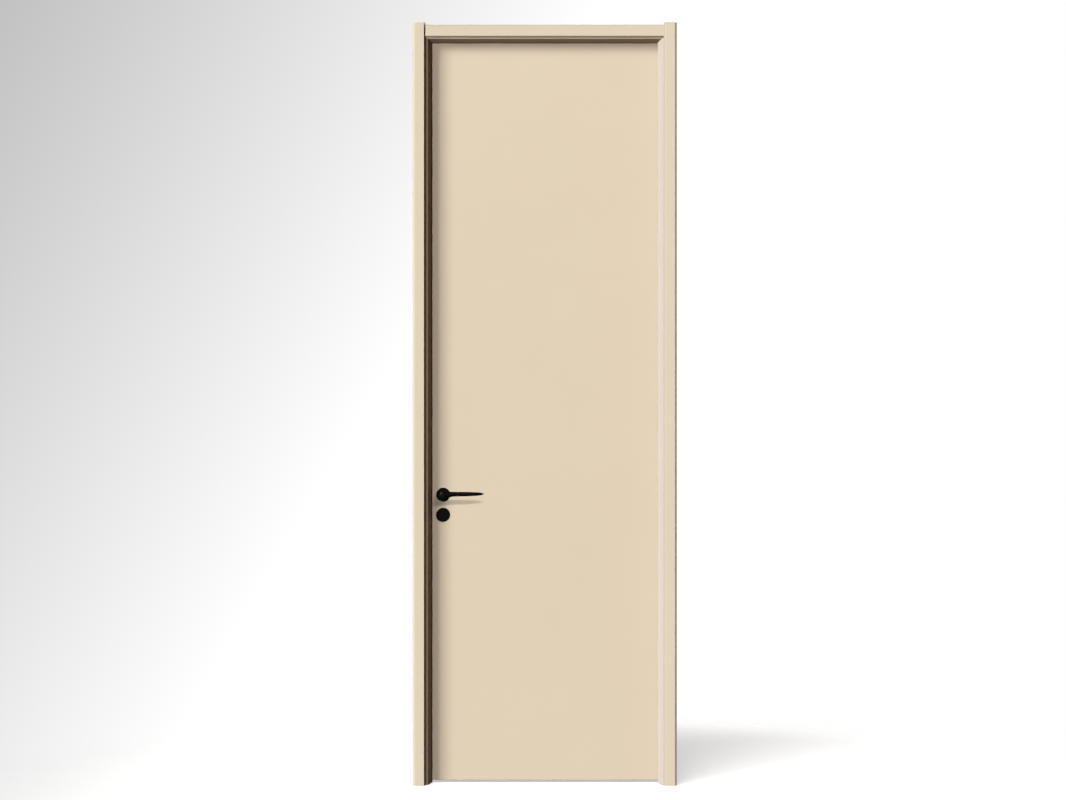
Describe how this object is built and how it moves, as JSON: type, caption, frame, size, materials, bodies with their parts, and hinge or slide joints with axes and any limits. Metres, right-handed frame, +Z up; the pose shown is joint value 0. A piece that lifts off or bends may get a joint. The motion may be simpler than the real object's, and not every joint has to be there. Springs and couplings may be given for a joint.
{
  "type": "flush door set",
  "caption": "Plain painted flush door leaf hung in a wooden lining with splayed stops, flat bevelled casings on both sides and black lever furniture.",
  "frame": {"origin": "foot of the hinge side lining's back face, half way through the wall, on the finished floor", "axes": "+Z up; +X out of the hinge side lining into the wall; -Y to the push side, +Y to the pull side"},
  "size_m": [0.954, 0.1922, 2.73],
  "materials": {
    "lining_paint": "satin lacquer",
    "casing_paint": "satin lacquer",
    "leaf_paint": "satin lacquer",
    "core_board": "raw chipboard",
    "black_metal": "satin black",
    "lock_steel": "brushed",
    "seal_rubber": "matt"
  },
  "bodies": {
    "frame": {"lining_lock_side": "lining_paint", "lining_hinge_side": "lining_paint", "lining_head": "lining_paint", "stop_lock_side": "lining_paint", "stop_hinge_side": "lining_paint", "stop_head": "lining_paint", "seal_lock_side": "seal_rubber", "seal_hinge_side": "seal_rubber", "seal_head": "seal_rubber", "front_casing_left": "casing_paint", "front_casing_right": "casing_paint", "front_casing_head": "casing_paint", "back_casing_left": "casing_paint", "back_casing_right": "casing_paint", "back_casing_head": "casing_paint", "strike_plate": "black_metal", "hinge_frame_leaf_1": "black_metal", "hinge_frame_leaf_2": "black_metal", "hinge_frame_leaf_3": "black_metal", "hinge_frame_leaf_4": "black_metal", "hinge_pin_1": "black_metal", "hinge_pin_2": "black_metal", "hinge_pin_3": "black_metal", "hinge_pin_4": "black_metal"},
    "leaf": {"leaf_core": "core_board", "leaf_front_skin": "leaf_paint", "leaf_back_skin": "leaf_paint", "lipping_lock_edge": "leaf_paint", "lipping_hinge_edge": "leaf_paint", "lipping_ends": "leaf_paint", "hinge_door_leaf_1": "black_metal", "hinge_door_leaf_2": "black_metal", "hinge_door_leaf_3": "black_metal", "hinge_door_leaf_4": "black_metal", "lock_case": "lock_steel", "lock_faceplate": "black_metal", "latch_bolt": "lock_steel", "dead_bolt": "lock_steel", "front_rosette": "black_metal", "back_rosette": "black_metal", "front_lower_disc": "black_metal", "back_lower_disc": "black_metal"},
    "levers": {"front_lever": "black_metal", "back_lever": "black_metal", "spindle": "lock_steel"}
  },
  "joints": [
    {"name": "door_swing", "type": "hinge", "parent": "frame", "child": "leaf", "pos_m": [-0.0345, 0.0665, 0], "axis": [0, 0, -1], "range_deg": [0, 110]},
    {"name": "lever_turn", "type": "hinge", "parent": "leaf", "child": "levers", "pos_m": [-0.822, 0.04, 1.036], "axis": [0, 1, 0], "range_deg": [0, 45], "stiffness_Nm_per_rad": 1, "springref_deg": -34.38}
  ]
}
